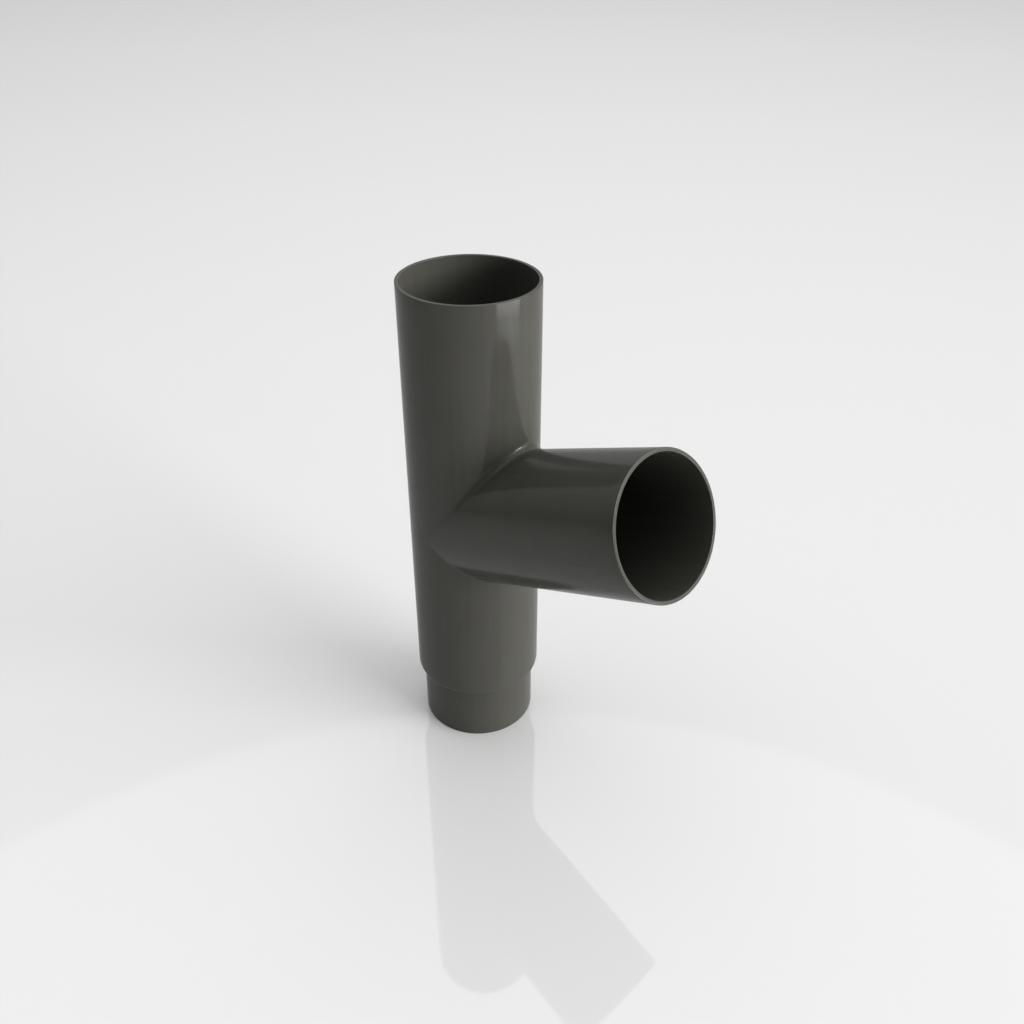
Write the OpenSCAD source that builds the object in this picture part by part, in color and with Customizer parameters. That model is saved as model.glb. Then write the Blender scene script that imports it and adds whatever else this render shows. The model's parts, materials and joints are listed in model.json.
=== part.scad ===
// Downpipe branch: one moulded fitting with a straight body, a side branch of the same bore and a spigot.
// Millimetres. The origin is the middle of the spigot's end, +Z runs up the body and the branch leans to +X.

/* [Pipes it joins] */
// Outside diameter of the downpipes that push into the two sockets
pipe_d = 100; // [80:0.5:125]
// Wall of the downpipe that the spigot slides into
pipe_wall = 1.7; // [1:0.1:2.5]
// Play on the diameter between a socket and the pipe in it
socket_play = 0.4; // [0.2:0.1:1.2]
// Play on the diameter between the spigot and the pipe round it
spigot_play = 0.3; // [0.2:0.1:1.2]

/* [Body] */
// Wall of the fitting, the same all over
wall = 2.9; // [2:0.1:4]
// Height from the spigot's end to the upper socket's rim
body_h = 406.5; // [360:0.5:480]
// Rounding of the rims' edges
rim_round = 0.4; // [0.2:0.1:0.8]

/* [Spigot] */
// Length of the straight spigot
spigot_l = 50; // [30:0.5:70]
// Slope of the shoulder over the spigot, measured from the axis
shoulder_angle = 68; // [45:1:72]
// Outer radius of the bend from the body into the shoulder
shoulder_round = 5.4; // [3.5:0.1:6.5]

/* [Branch] */
// Angle between the branch and the upper part of the body
branch_angle = 67.5; // [60:0.5:75]
// Height at which the branch's axis crosses the body's axis
branch_h = 205; // [180:0.5:230]
// Length of the branch along its axis, from the crossing to the rim
branch_l = 204; // [180:0.5:240]
// Radius of the fillet in the corner between branch and body
blend_r = 5.5; // [2:0.1:8]

/* [Hidden] */

bore_r = (pipe_d + socket_play) / 2;
body_r = bore_r + wall;
spigot_r = pipe_d / 2 - pipe_wall - spigot_play / 2;
spigot_bore_r = spigot_r - wall;

// Half the corner angle over the branch. The corner under the branch has the rest of the right angle.
upper_half = branch_angle / 2;
lower_half = 90 - upper_half;

// The shoulder is an arc that starts at the body's side and ends in a cone down to the spigot. The arc
// takes at most nine tenths of the step, so that a cone is always left.
step_in = body_r - spigot_r;
shoulder_r = min(shoulder_round, 0.9 * step_in / (1 - cos(shoulder_angle)));
arc_in = shoulder_r * (1 - cos(shoulder_angle));
arc_down = shoulder_r * sin(shoulder_angle);
cone_h = (step_in - arc_in) / tan(shoulder_angle);
shoulder_top = spigot_l + cone_h + arc_down;

// Inside, the same cone lies a wall thickness further in, so both its corners rise by this much.
inner_rise = wall * tan(shoulder_angle / 2);
inner_cone_h = step_in / tan(shoulder_angle);

// How far the cutting shapes reach past the rims
past = 1;
// How far the fillet's edges are sunk, and how deep its root lies in the walls
sunk = 0.03;
root_depth = wall / 2;
// Steps along and across the fillet, and how near it comes to the places where both pipes touch
steps_along = 40;
steps_across = 6;
blend_end = 86;

$fn = 96;

// What a rounded edge takes away from a corner that points to +X and +Y
module edge_round(r) {
    difference() {
        square(2 * r);
        circle(r);
    }
}

// Rounds the outer edge and the inner edge of a rim that ends at height h
module rim_rounds(r_out, r_in, h) {
    translate([r_out - rim_round, h - rim_round]) edge_round(rim_round);
    translate([r_in + rim_round, h - rim_round]) mirror([1, 0]) edge_round(rim_round);
}

// Half section of the body as a solid bar, from the spigot's end to the upper rim
module body_section() {
    square([spigot_r, spigot_l]);
    translate([0, shoulder_top]) square([body_r, body_h - shoulder_top]);
    translate([body_r - shoulder_r, shoulder_top]) circle(shoulder_r);
    polygon([
        [0, spigot_l],
        [spigot_r, spigot_l],
        [body_r - arc_in, spigot_l + cone_h],
        [body_r - shoulder_r, shoulder_top],
        [0, shoulder_top]
    ]);
}

// Half section of what is hollow in the body
module body_hollow_section() {
    cone_low = spigot_l + inner_rise;
    polygon([
        [0, -past],
        [spigot_bore_r, -past],
        [spigot_bore_r, cone_low],
        [bore_r, cone_low + inner_cone_h],
        [bore_r, body_h + past],
        [0, body_h + past]
    ]);
}

module body_bar() {
    rotate_extrude() difference() {
        body_section();
        rim_rounds(body_r, bore_r, body_h);
        mirror([0, 1]) rim_rounds(spigot_r, spigot_bore_r, 0);
    }
}

module body_hollow() {
    rotate_extrude() body_hollow_section();
}

// Puts what is drawn along +Z on the branch's axis, from the crossing outwards
module on_branch() {
    translate([0, 0, branch_h]) rotate([0, branch_angle, 0]) children();
}

module branch_bar() {
    on_branch() rotate_extrude() difference() {
        square([body_r, branch_l]);
        rim_rounds(body_r, bore_r, branch_l);
    }
}

module branch_hollow() {
    on_branch() cylinder(h = branch_l + past, r = bore_r);
}

// The fillet is rolled by a ball that touches both pipes. Every point r away from both axes lies in
// the plane that halves the corner, so the ball's path and the fillet's root are cuts of that plane.
// side is 1 for the corner over the branch and -1 for the corner under it, and half is half its angle.
function on_corner(r, a, side, half) = [
    r * cos(a),
    r * sin(a),
    branch_h + side * r * cos(a) / tan(half)
];

// From the ball's centre to where it touches the body, and the same for the branch, its mirror image
function to_body(a) = [-cos(a), -sin(a), 0];
function corner_normal(side, half) = [cos(half), 0, -side * sin(half)];
function to_branch(a, side, half) =
    let (n = corner_normal(side, half))
    to_body(a) - 2 * (to_body(a) * n) * n;

// Direction that is a share t of the way from u to v along their arc
function turned(u, v, t) =
    let (whole = acos(u * v))
    (sin((1 - t) * whole) * u + sin(t * whole) * v) / sin(whole);

function fillet_section(a, side, half) =
    let (
        centre = on_corner(body_r + blend_r - sunk, a, side, half),
        u = to_body(a),
        v = to_branch(a, side, half)
    )
    concat(
        [for (i = [0:steps_across]) centre + blend_r * turned(u, v, i / steps_across)],
        [on_corner(body_r - root_depth, a, side, half)]
    );

// Closed solid through a row of sections that have the same number of points
module sweep(sections) {
    m = len(sections[0]);
    last = len(sections) - 1;
    sides = [
        for (s = [0:last - 1], i = [0:m - 1])
            let (j = (i + 1) % m)
            each [
                [s * m + i, s * m + j, (s + 1) * m + j],
                [s * m + i, (s + 1) * m + j, (s + 1) * m + i]
            ]
    ];
    first_cap = [[for (i = [m - 1:-1:0]) i]];
    last_cap = [[for (i = [0:m - 1]) last * m + i]];
    polyhedron([for (s = sections) each s], concat(sides, first_cap, last_cap), convexity = 6);
}

module blend(side, half) {
    angles = [for (s = [0:steps_along]) -blend_end + 2 * blend_end * s / steps_along];
    ordered = side > 0 ? angles : [for (s = [steps_along:-1:0]) angles[s]];
    sweep([for (a = ordered) fillet_section(a, side, half)]);
}

module branch_fitting() {
    color([0.24, 0.24, 0.22]) difference() {
        union() {
            body_bar();
            branch_bar();
            blend(1, upper_half);
            blend(-1, lower_half);
        }
        body_hollow();
        branch_hollow();
    }
}

branch_fitting();
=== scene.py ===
"""The look of the downpipe branch: its smooth moulded skin, its satin plastic and a pale studio."""
import json
import math

import bmesh
import bpy
import numpy as np
from mathutils import Matrix, Vector

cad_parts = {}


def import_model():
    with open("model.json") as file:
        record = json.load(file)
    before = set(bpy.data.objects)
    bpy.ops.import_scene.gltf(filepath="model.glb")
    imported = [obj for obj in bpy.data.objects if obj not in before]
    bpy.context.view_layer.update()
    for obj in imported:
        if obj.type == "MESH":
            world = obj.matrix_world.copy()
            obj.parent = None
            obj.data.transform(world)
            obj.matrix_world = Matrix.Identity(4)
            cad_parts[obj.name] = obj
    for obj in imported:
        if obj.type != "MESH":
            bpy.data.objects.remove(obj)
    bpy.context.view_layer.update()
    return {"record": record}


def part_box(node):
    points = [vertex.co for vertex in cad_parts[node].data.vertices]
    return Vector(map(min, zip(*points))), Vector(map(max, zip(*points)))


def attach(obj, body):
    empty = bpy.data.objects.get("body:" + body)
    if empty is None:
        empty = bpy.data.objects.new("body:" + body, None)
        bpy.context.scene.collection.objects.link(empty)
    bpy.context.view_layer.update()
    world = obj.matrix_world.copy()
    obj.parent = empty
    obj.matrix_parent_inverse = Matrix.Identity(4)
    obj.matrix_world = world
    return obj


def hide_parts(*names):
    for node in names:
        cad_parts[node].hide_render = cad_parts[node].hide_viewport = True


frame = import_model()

NODE = "branch_fitting"
MM = 0.001

# Sizes that the frame gives
MOUNTS = {mount["name"]: mount for mount in frame["record"]["mounts"]}
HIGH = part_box(NODE)[1]
BODY_R = HIGH.y
BODY_H = HIGH.z
BORE_R = MOUNTS["upper_socket"]["dims"]["r_mm"] * MM
SPIGOT_R = MOUNTS["spigot"]["dims"]["r_mm"] * MM
WALL = BODY_R - BORE_R

# Small forms, with the sizes that the part's source gives them
RIM_ROUND = 0.4 * MM
BLEND_R = 5.5 * MM
SHOULDER_ANGLE = math.radians(68)
SHOULDER_ROUND = 5.4 * MM

# The spigot's length and the branch, from the mounts
SPIGOT_L = MOUNTS["spigot"]["dims"]["length_mm"] * MM + RIM_ROUND
BRANCH_L = MOUNTS["branch_socket"]["dims"]["length_mm"] * MM + RIM_ROUND
BRANCH_AXIS = np.array(MOUNTS["branch_socket"]["axis"], float)
BRANCH_ANGLE = math.atan2(BRANCH_AXIS[0], BRANCH_AXIS[2])
MOUTH = MOUNTS["branch_socket"]["pos_m"]
BRANCH_H = MOUTH[2] - MOUTH[0] / math.tan(BRANCH_ANGLE)

# Half the corner angle over the branch and under it
HALF = {1: BRANCH_ANGLE / 2, -1: math.pi / 2 - BRANCH_ANGLE / 2}

# How finely the skin is divided
COLUMNS = 256  # round each pipe
QUARTER_TURN = COLUMNS // 4
HALF_TURN = COLUMNS // 2
POLES = (QUARTER_TURN, COLUMNS - QUARTER_TURN)  # where the pipes touch side by side
CLEAR = 6 * MM  # from the corner's furthest point to a level circle
GRADED_ROWS = 26  # from that circle to the corner
PLAIN_STEP = 9 * MM  # between rows on plain walls
ROUND_STEPS = 5  # over each edge of a rim
BEND_STEPS = 10  # round the shoulder's outer bend
BLEND_STEPS = 14  # across the fillet
SMOOTH_BELOW = math.radians(30)  # the shading stays sharp at sharper edges

# The camera where the photograph's outlines put it, its lens and sensor in millimetres
CAMERA_AT = (0.4920, -0.4570, 0.6505)
CAMERA_YAW = math.radians(44.488)
CAMERA_PITCH = math.radians(33.452)
CAMERA_ROLL = math.radians(0.0085)
CAMERA_LENS = 34.308
CAMERA_SENSOR = 36
CAMERA_SIGHT = 100

# Where the lamps stand, in metres
LAMP_FAR = 16
OBJECT_MIDDLE = 0.2
TOP_HEIGHT = 8

# The sky's brightest direction, the cosine where its light starts, and its levels from there to the brightest
SKY_FROM = (185, 50)
SKY_START = 0
SKY_LEVELS = (0, 0.93)

# How bright the empty background looks
BACKGROUND = 0.8

# The glossy white floor
FLOOR_REACH = 30
FLOOR_WHITE = (0.73, 0.73, 0.73, 1)
FLOOR_ROUGHNESS = 0.04
FLOOR_IOR = 1.7

# The plastic's two greys and its roughness
DARK_GREY = (0.057, 0.056, 0.048, 1)
LIGHT_GREY = (0.067, 0.066, 0.057, 1)
ROUGHNESS = 0.5
ROUGHNESS_CHANGE = 0.04

# The thin sharp gloss over the plastic
SKIN_SHARE = 0.48
SKIN_ROUGHNESS = 0.145
SKIN_IOR = 1.5

# The plastic's grain, lines and patches, in metres
GRAIN_SIZE = 0.0012
GRAIN_DEPTH = 0.000006
LINE_WIDTH = 0.004
LINE_STRETCH = 0.02
LINE_DEPTH = 0.00001
PATCH_SIZE = 0.03

# Most of a noise lies between these two values
NOISE_LOW = 0.3
NOISE_HIGH = 0.7

# The places of the mix node's two inputs and its output for each kind of data
MIX_PLACES = {"FLOAT": (2, 3, 0), "VECTOR": (4, 5, 1), "RGBA": (6, 7, 2)}


class Pipe:
    """One of the two crossing pipes: where its axis starts, the direction its columns count from, its axis,
    and 1 for the branch or 0 for the body."""

    def __init__(self, start, first, axis, share):
        self.start, self.first, self.axis = (np.array(v, float) for v in (start, first, axis))
        self.second = np.array([0.0, 1.0, 0.0])
        self.share = share

    def point(self, radius, angle, along):
        out = math.cos(angle) * self.first + math.sin(angle) * self.second
        return self.start + radius * out + along * self.axis


CROSSING = (0, 0, BRANCH_H)
BODY = Pipe(CROSSING, (1, 0, 0), (0, 0, 1), 0.0)
BRANCH = Pipe(CROSSING, (-math.cos(BRANCH_ANGLE), 0, math.sin(BRANCH_ANGLE)), BRANCH_AXIS, 1.0)


def column_angle(i):
    return 2 * math.pi * i / COLUMNS


def in_front(i):
    """Whether a body column is cut by the branch. The two columns at the poles aren't."""
    return abs((i + HALF_TURN) % COLUMNS - HALF_TURN) < QUARTER_TURN


def across(i):
    """The branch's column that meets the body's column i under the branch, and the other way round."""
    return (HALF_TURN - i) % COLUMNS


class Skin:
    """The points and faces of the fitting, built row by row."""

    def __init__(self):
        self.points, self.faces, self.on_branch = [], [], []

    def add(self, point, on_branch):
        self.points.append(tuple(point))
        self.on_branch.append(on_branch)
        return len(self.points) - 1

    def add_face(self, corners):
        """Adds a face without the corners that fall together, or nothing where less than three are left."""
        apart = [corner for k, corner in enumerate(corners) if corner != corners[k - 1]]
        if len(apart) > 2:
            self.faces.append(apart)

    def rings(self, pipe, section):
        """A row of points round a pipe for each point of a half section."""
        return [
            [self.add(pipe.point(radius, column_angle(i), along), pipe.share) for i in range(COLUMNS)]
            for radius, along in section
        ]

    def graded(self, pipe, radius, far, near_row, near_alongs):
        """Rows between a level circle and the uneven row near the corner, from the circle inwards."""
        rows = []
        for k in range(GRADED_ROWS):
            alongs = [far + k / GRADED_ROWS * (near - far) for near in near_alongs]
            rows.append([
                self.add(pipe.point(radius, column_angle(i), alongs[i]), pipe.share) for i in range(COLUMNS)
            ])
        return rows + [near_row]

    def join(self, rows):
        """Faces between each row and the next."""
        for upper, lower in zip(rows, rows[1:]):
            for i in range(COLUMNS):
                j = (i + 1) % COLUMNS
                self.add_face([upper[i], upper[j], lower[j], lower[i]])


def corner_reach(radius, blend, angle, side):
    """How far along a pipe the fillet's edge lies from the crossing, at an angle from the corner's middle."""
    return (radius + blend) * max(math.cos(angle), 0.0) / math.tan(HALF[side])


def fillet_points(radius, blend, angle, side):
    """The points of the rolled fillet from the body to the branch at one angle round the body."""
    along = side * (radius + blend) * math.cos(angle) / math.tan(HALF[side])
    centre = BODY.point(radius + blend, angle, along)
    to_body = -(math.cos(angle) * BODY.first + math.sin(angle) * BODY.second)
    normal = np.array([math.cos(HALF[side]), 0, -side * math.sin(HALF[side])])
    to_branch = to_body - 2 * (to_body @ normal) * normal
    whole = math.acos(max(-1.0, min(1.0, float(to_body @ to_branch))))
    found = []
    for k in range(BLEND_STEPS + 1):
        share = k / BLEND_STEPS
        turned = math.sin((1 - share) * whole) * to_body + math.sin(share * whole) * to_branch
        found.append(centre + blend * (turned / math.sin(whole)))
    return found


def corner_rows(skin, radius, blend):
    """The rows where the body meets the branch. Gives the body's row over the branch, the one under it and
    the branch's own first row, all as point numbers, and adds the fillet between them."""
    shared = [
        None if in_front(i) else skin.add(BODY.point(radius, column_angle(i), 0), BODY.share)
        for i in range(COLUMNS)
    ]
    rows = {1: list(shared), -1: list(shared)}
    branch_row = [None] * COLUMNS
    for pole in POLES:
        branch_row[pole] = shared[pole]
    for side in (1, -1):
        strips = {}
        for i in range(COLUMNS):
            if not in_front(i):
                continue
            angle = column_angle(i)
            if blend:
                points = fillet_points(radius, blend, angle, side)
                strip = [skin.add(point, k / BLEND_STEPS) for k, point in enumerate(points)]
            else:
                along = side * corner_reach(radius, 0, angle, side)
                strip = [skin.add(BODY.point(radius, angle, along), 0.5)]
            strips[i] = strip
            rows[side][i] = strip[0]
            branch_row[i if side > 0 else across(i)] = strip[-1]
        for pole in POLES:
            strips[pole] = [shared[pole]] * (BLEND_STEPS + 1 if blend else 1)
        order = [k % COLUMNS for k in range(-QUARTER_TURN, QUARTER_TURN + 1)]
        for a, b in zip(order, order[1:]):
            for k in range(len(strips[a]) - 1):
                skin.add_face([strips[a][k], strips[b][k], strips[b][k + 1], strips[a][k + 1]])
    return rows[1], rows[-1], branch_row


def corner_wall(skin, radius, blend):
    """One wall of both pipes near the corner. Gives its three outermost rows and how far along they lie."""
    over, under, branch_row = corner_rows(skin, radius, blend)
    reach = {
        side: [
            corner_reach(radius, blend, column_angle(i), side) if in_front(i) else 0.0 for i in range(COLUMNS)
        ]
        for side in (1, -1)
    }
    top = reach[1][0] + CLEAR
    bottom = -reach[-1][0] - CLEAR
    up = skin.graded(BODY, radius, top, over, reach[1])
    down = skin.graded(BODY, radius, bottom, under, [-r for r in reach[-1]])
    branch_reach = [reach[1][i] if in_front(i) else reach[-1][across(i)] for i in range(COLUMNS)]
    out = skin.graded(BRANCH, radius, top, branch_row, branch_reach)
    for rows in (up, down, out):
        skin.join(rows)
    return {"up": up[0], "down": down[0], "out": out[0], "top": top, "bottom": bottom}


def arc(radius_at, along_at, radius, start, end, steps=ROUND_STEPS):
    """Half-section points on an arc, from one angle to another in degrees, counted from outwards to along."""
    turns = np.radians(np.linspace(start, end, steps + 1))
    return [(radius_at + radius * math.cos(t), along_at + radius * math.sin(t)) for t in turns]


def straight(radius, start, end):
    """Half-section points along a straight wall, without the last."""
    count = max(1, round(abs(end - start) / PLAIN_STEP))
    return [(radius, start + (end - start) * k / count) for k in range(count)]


def rim(outer, inner, end, way):
    """Half-section points over a rim, from the outer wall to the inner one. way is 1 where it faces along."""
    first = arc(outer - RIM_ROUND, end - way * RIM_ROUND, RIM_ROUND, 0, way * 90)
    second = arc(inner + RIM_ROUND, end - way * RIM_ROUND, RIM_ROUND, way * 90, way * 180)
    return first + second


def socket_section(outer, inner, end):
    """Half-section points of a socket, from the outer wall's circle over the rim to the inner wall's."""
    section = straight(BODY_R, outer["top"], end - RIM_ROUND)[1:]
    section += rim(BODY_R, BORE_R, end, 1)
    return section + straight(BORE_R, end - RIM_ROUND, inner["top"])[1:]


def shoulder():
    """Half-section points down the outside from the body's wall to the spigot's."""
    arc_in = SHOULDER_ROUND * (1 - math.cos(SHOULDER_ANGLE))
    cone_h = (BODY_R - SPIGOT_R - arc_in) / math.tan(SHOULDER_ANGLE)
    top = SPIGOT_L + cone_h + SHOULDER_ROUND * math.sin(SHOULDER_ANGLE) - BRANCH_H
    bend = arc(BODY_R - SHOULDER_ROUND, top, SHOULDER_ROUND, 0, -math.degrees(SHOULDER_ANGLE), BEND_STEPS)
    return bend + [(SPIGOT_R, SPIGOT_L - BRANCH_H)]


def spigot_section(outer, inner):
    """Half-section points of the lower end, from the outer wall's circle to the inner wall's."""
    foot = -BRANCH_H
    spigot_bore = SPIGOT_R - WALL
    cone_low = SPIGOT_L + WALL * math.tan(SHOULDER_ANGLE / 2) - BRANCH_H
    cone_high = cone_low + (BODY_R - SPIGOT_R) / math.tan(SHOULDER_ANGLE)
    shoulder_points = shoulder()
    section = straight(BODY_R, outer["bottom"], shoulder_points[0][1])[1:]
    section += shoulder_points
    section += straight(SPIGOT_R, SPIGOT_L - BRANCH_H, foot + RIM_ROUND)[1:]
    section += rim(SPIGOT_R, spigot_bore, foot, -1)
    section += straight(spigot_bore, foot + RIM_ROUND, cone_low)[1:]
    section += [(spigot_bore, cone_low)]
    return section + straight(BORE_R, cone_high, inner["bottom"])


def build_skin():
    skin = Skin()
    outer = corner_wall(skin, BODY_R, BLEND_R)
    inner = corner_wall(skin, BORE_R, 0)
    ends = (
        (BODY, "up", socket_section(outer, inner, BODY_H - BRANCH_H)),
        (BRANCH, "out", socket_section(outer, inner, BRANCH_L)),
        (BODY, "down", spigot_section(outer, inner)),
    )
    for pipe, way, section in ends:
        skin.join([outer[way]] + skin.rings(pipe, section) + [inner[way]])
    return skin


def fitting():
    skin = build_skin()
    mesh = bpy.data.meshes.new("fitting_skin")
    mesh.from_pydata(skin.points, [], skin.faces)
    mesh.attributes.new("on_branch", "FLOAT", "POINT").data.foreach_set("value", skin.on_branch)
    work = bmesh.new()
    work.from_mesh(mesh)
    bmesh.ops.recalc_face_normals(work, faces=work.faces)
    for face in work.faces:
        face.smooth = True
    for edge in work.edges:
        edge.smooth = edge.calc_face_angle(0) < SMOOTH_BELOW
    work.to_mesh(mesh)
    work.free()
    piece = bpy.data.objects.new("fitting_skin", mesh)
    bpy.context.scene.collection.objects.link(piece)
    return piece


def node(tree, kind, **settings):
    made = tree.nodes.new("ShaderNode" + kind)
    for name, value in settings.items():
        setattr(made, name, value)
    return made


def noise(tree, at, size, detail, roughness=0.5):
    """A noise whose features are about size metres across."""
    made = node(tree, "TexNoise")
    made.inputs["Scale"].default_value = 1 / size
    made.inputs["Detail"].default_value = detail
    made.inputs["Roughness"].default_value = roughness
    tree.links.new(at, made.inputs["Vector"])
    return made.outputs["Fac"]


def spread(tree, value, low, high, to_low, to_high):
    """Maps a value's range to another, held at both ends."""
    made = node(tree, "MapRange")
    for name, number in (("From Min", low), ("From Max", high), ("To Min", to_low), ("To Max", to_high)):
        made.inputs[name].default_value = number
    tree.links.new(value, made.inputs["Value"])
    return made.outputs["Result"]


def plus(tree, first, second):
    made = node(tree, "Math", operation="ADD")
    tree.links.new(first, made.inputs[0])
    tree.links.new(second, made.inputs[1])
    return made.outputs[0]


def mixed(tree, kind, factor, first, second):
    """A mix of two parts, each of them another node's output or a fixed value."""
    made = node(tree, "Mix", data_type=kind)
    tree.links.new(factor, made.inputs["Factor"])
    *inputs, output = MIX_PLACES[kind]
    for place, part in zip(inputs, (first, second)):
        if isinstance(part, bpy.types.NodeSocket):
            tree.links.new(part, made.inputs[place])
        else:
            made.inputs[place].default_value = part
    return made.outputs[output]


def bump(tree, height, depth, under=None):
    """A relief, laid over another one if that is given."""
    made = node(tree, "Bump")
    made.inputs["Strength"].default_value = 1
    made.inputs["Distance"].default_value = depth
    tree.links.new(height, made.inputs["Height"])
    if under:
        tree.links.new(under, made.inputs["Normal"])
    return made.outputs["Normal"]


def along_pipe(tree, place):
    """The place on the part with the axis of its own pipe turned upright, so that lines follow each pipe."""
    turn = node(tree, "VectorRotate", rotation_type="Y_AXIS")
    turn.inputs["Center"].default_value = CROSSING
    turn.inputs["Angle"].default_value = -BRANCH_ANGLE
    tree.links.new(place, turn.inputs["Vector"])
    which = node(tree, "Attribute", attribute_name="on_branch")
    return mixed(tree, "VECTOR", which.outputs["Fac"], place, turn.outputs["Vector"])


def plastic():
    """Grey plastic under a thin sharp gloss: a fine grain, faint lines along each pipe, slight unevenness."""
    material = bpy.data.materials.new("satin_graphite")
    material.use_nodes = True
    tree = material.node_tree
    shader = tree.nodes["Principled BSDF"]
    shader.inputs["Specular IOR Level"].default_value = 0
    shader.inputs["Coat Weight"].default_value = SKIN_SHARE
    shader.inputs["Coat Roughness"].default_value = SKIN_ROUGHNESS
    shader.inputs["Coat IOR"].default_value = SKIN_IOR

    place = node(tree, "TexCoord").outputs["Object"]
    stretch = node(tree, "VectorMath", operation="MULTIPLY")
    stretch.inputs[1].default_value = (1, 1, LINE_STRETCH)
    tree.links.new(along_pipe(tree, place), stretch.inputs[0])
    lines = noise(tree, stretch.outputs["Vector"], LINE_WIDTH, 3, 0.6)
    patches = noise(tree, place, PATCH_SIZE, 3)
    grain = noise(tree, place, GRAIN_SIZE, 2)

    halves = (spread(tree, part, NOISE_LOW, NOISE_HIGH, -0.5, 0.5) for part in (lines, patches))
    tone = plus(tree, *halves)
    colour = mixed(tree, "RGBA", spread(tree, tone, -1, 1, 0, 1), DARK_GREY, LIGHT_GREY)
    tree.links.new(colour, shader.inputs["Base Color"])
    rough = spread(tree, tone, -1, 1, ROUGHNESS - ROUGHNESS_CHANGE, ROUGHNESS + ROUGHNESS_CHANGE)
    tree.links.new(rough, shader.inputs["Roughness"])
    relief = bump(tree, grain, GRAIN_DEPTH, bump(tree, lines, LINE_DEPTH))
    tree.links.new(relief, shader.inputs["Normal"])
    tree.links.new(relief, shader.inputs["Coat Normal"])
    return material


def floor():
    mesh = bpy.data.meshes.new("floor")
    corners = [(x * FLOOR_REACH, y * FLOOR_REACH, 0) for x, y in ((-1, -1), (1, -1), (1, 1), (-1, 1))]
    mesh.from_pydata(corners, [], [(0, 1, 2, 3)])
    ground = bpy.data.objects.new("floor", mesh)
    bpy.context.scene.collection.objects.link(ground)
    material = bpy.data.materials.new("glossy_white")
    material.use_nodes = True
    shader = material.node_tree.nodes["Principled BSDF"]
    shader.inputs["Base Color"].default_value = FLOOR_WHITE
    shader.inputs["Roughness"].default_value = FLOOR_ROUGHNESS
    shader.inputs["IOR"].default_value = FLOOR_IOR
    mesh.materials.append(material)


def from_object(turn, rise):
    """Direction from the object in degrees: the turn from the camera's side to its right, and the rise."""
    turn, rise = math.radians(turn) + CAMERA_YAW - math.pi / 2, math.radians(rise)
    return Vector((math.cos(turn) * math.cos(rise), math.sin(turn) * math.cos(rise), math.sin(rise)))


def softbox(name, turn, width, low, high, level):
    """An upright lamp panel as far as LAMP_FAR from the object. turn, width, low and high are degrees as seen
    from the object's middle, and level is how bright its face is, where 1 is white."""
    wide = 2 * LAMP_FAR * math.tan(math.radians(width) / 2)
    bottom, top = (OBJECT_MIDDLE + LAMP_FAR * math.tan(math.radians(rise)) for rise in (low, high))
    lamp = bpy.data.lights.new(name, "AREA")
    lamp.shape = "RECTANGLE"
    lamp.size, lamp.size_y = wide, top - bottom
    lamp.energy = 4 * wide * (top - bottom) * level
    panel = bpy.data.objects.new(name, lamp)
    away = from_object(turn, 0)
    panel.location = LAMP_FAR * away + Vector((0, 0, (bottom + top) / 2))
    panel.rotation_euler = (-away).to_track_quat("-Z", "Y").to_euler()
    bpy.context.scene.collection.objects.link(panel)


def overhead(name, width, level):
    """A round lamp TOP_HEIGHT above the floor. width is degrees as seen from the object."""
    lamp = bpy.data.lights.new(name, "AREA")
    lamp.shape = "DISK"
    lamp.size = 2 * TOP_HEIGHT * math.tan(math.radians(width) / 2)
    lamp.energy = math.pi * lamp.size ** 2 * level
    disc = bpy.data.objects.new(name, lamp)
    disc.location = (0, 0, TOP_HEIGHT)
    bpy.context.scene.collection.objects.link(disc)


def camera():
    yaw, pitch, roll = CAMERA_YAW, CAMERA_PITCH, CAMERA_ROLL
    forward = Vector((-math.sin(yaw) * math.cos(pitch), math.cos(yaw) * math.cos(pitch), -math.sin(pitch)))
    level = Vector((math.cos(yaw), math.sin(yaw), 0))
    above = level.cross(forward)
    right = math.cos(roll) * level + math.sin(roll) * above
    up = math.cos(roll) * above - math.sin(roll) * level
    data = bpy.data.cameras.new("camera")
    data.sensor_fit = "HORIZONTAL"
    data.sensor_width = CAMERA_SENSOR
    data.lens = CAMERA_LENS
    data.clip_end = CAMERA_SIGHT
    eye = bpy.data.objects.new("camera", data)
    turn = Matrix((right, up, -forward)).transposed().to_4x4()
    eye.matrix_world = Matrix.Translation(CAMERA_AT) @ turn
    bpy.context.scene.collection.objects.link(eye)
    bpy.context.scene.camera = eye


def world():
    """Weak light that grows towards one direction, high up behind the object, and a pale background."""
    sky = bpy.data.worlds.new("studio")
    sky.use_nodes = True
    tree = sky.node_tree
    towards = node(tree, "VectorMath", operation="DOT_PRODUCT")
    towards.inputs[1].default_value = from_object(*SKY_FROM)
    tree.links.new(node(tree, "TexCoord").outputs["Generated"], towards.inputs[0])
    light = spread(tree, towards.outputs["Value"], SKY_START, 1, *SKY_LEVELS)
    by_camera = node(tree, "LightPath").outputs["Is Camera Ray"]
    back = tree.nodes["Background"]
    back.inputs["Color"].default_value = (1, 1, 1, 1)
    tree.links.new(mixed(tree, "FLOAT", by_camera, light, BACKGROUND), back.inputs["Strength"])
    bpy.context.scene.world = sky


camera()
world()
softbox("key_low", turn=64, width=40, low=7, high=21, level=14.8)
softbox("key_high", turn=64, width=40, low=21, high=45, level=2.3)
softbox("key_left", turn=35, width=18, low=7, high=30, level=1)
softbox("far_right", turn=94, width=20, low=0, high=40, level=1.85)
overhead("overhead", width=90, level=0.38)
floor()
skin_piece = fitting()
skin_piece.data.materials.append(plastic())
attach(skin_piece, "root")
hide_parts(NODE)

bpy.context.scene.view_settings.view_transform = "Standard"
